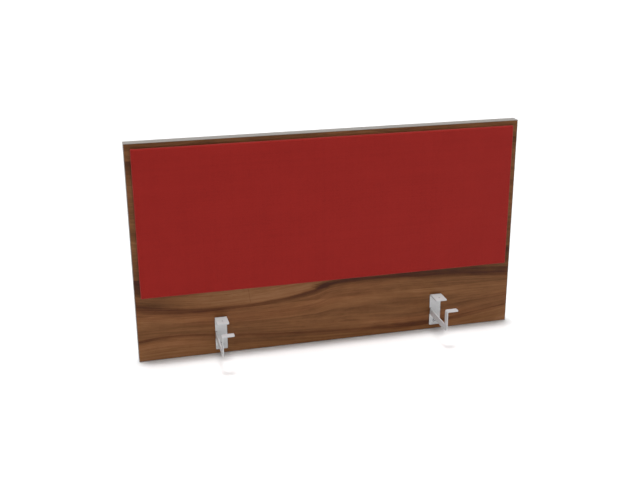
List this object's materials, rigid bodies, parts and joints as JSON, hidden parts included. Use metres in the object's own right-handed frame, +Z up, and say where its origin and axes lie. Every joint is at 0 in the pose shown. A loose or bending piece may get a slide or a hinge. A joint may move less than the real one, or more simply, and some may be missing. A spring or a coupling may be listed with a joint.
{
  "type": "desk privacy panel",
  "caption": "Upright desk privacy panel: walnut-faced board with grey edges, a red fabric pad on the front and two folded steel brackets that fasten under a desk top.",
  "frame": {"origin": "middle of the board's bottom edge, halfway through its thickness", "axes": "+X along the panel to the right as seen from the pad's side, -Y out of the pad towards the person at the desk, +Z up"},
  "size_m": [1, 0.1523, 0.562],
  "materials": {
    "walnut_laminate": "satin melamine with horizontal walnut grain, dark streaks",
    "chipboard": "raw three-layer chipboard, hidden",
    "grey_edge_band": "matt light grey ABS edge band",
    "red_fabric": "flat woven deep red polyester",
    "pad_foam": "thin cream polyurethane foam, hidden",
    "hardboard": "brown hardboard, hidden",
    "mounting_tape": "white double-sided tape, hidden",
    "grey_powder_coat": "light grey powder coat, fine texture",
    "zinc_plate": "bright zinc plate",
    "insert_brass": "plain brass"
  },
  "bodies": {
    "root": {"board_core": "chipboard", "front_laminate": "walnut_laminate", "back_laminate": "walnut_laminate", "top_edge_band": "grey_edge_band", "bottom_edge_band": "grey_edge_band", "left_edge_band": "grey_edge_band", "right_edge_band": "grey_edge_band", "pad_cover": "red_fabric", "pad_foam": "pad_foam", "pad_backing": "hardboard", "pad_tape_1": "mounting_tape", "pad_tape_2": "mounting_tape", "pad_tape_3": "mounting_tape", "pad_tape_4": "mounting_tape", "pad_tape_5": "mounting_tape", "pad_tape_6": "mounting_tape", "left_bracket": "grey_powder_coat", "left_screw_lower": "zinc_plate", "left_insert_lower": "insert_brass", "left_screw_upper": "zinc_plate", "left_insert_upper": "insert_brass", "right_bracket": "grey_powder_coat", "right_screw_lower": "zinc_plate", "right_insert_lower": "insert_brass", "right_screw_upper": "zinc_plate", "right_insert_upper": "insert_brass"}
  },
  "joints": []
}
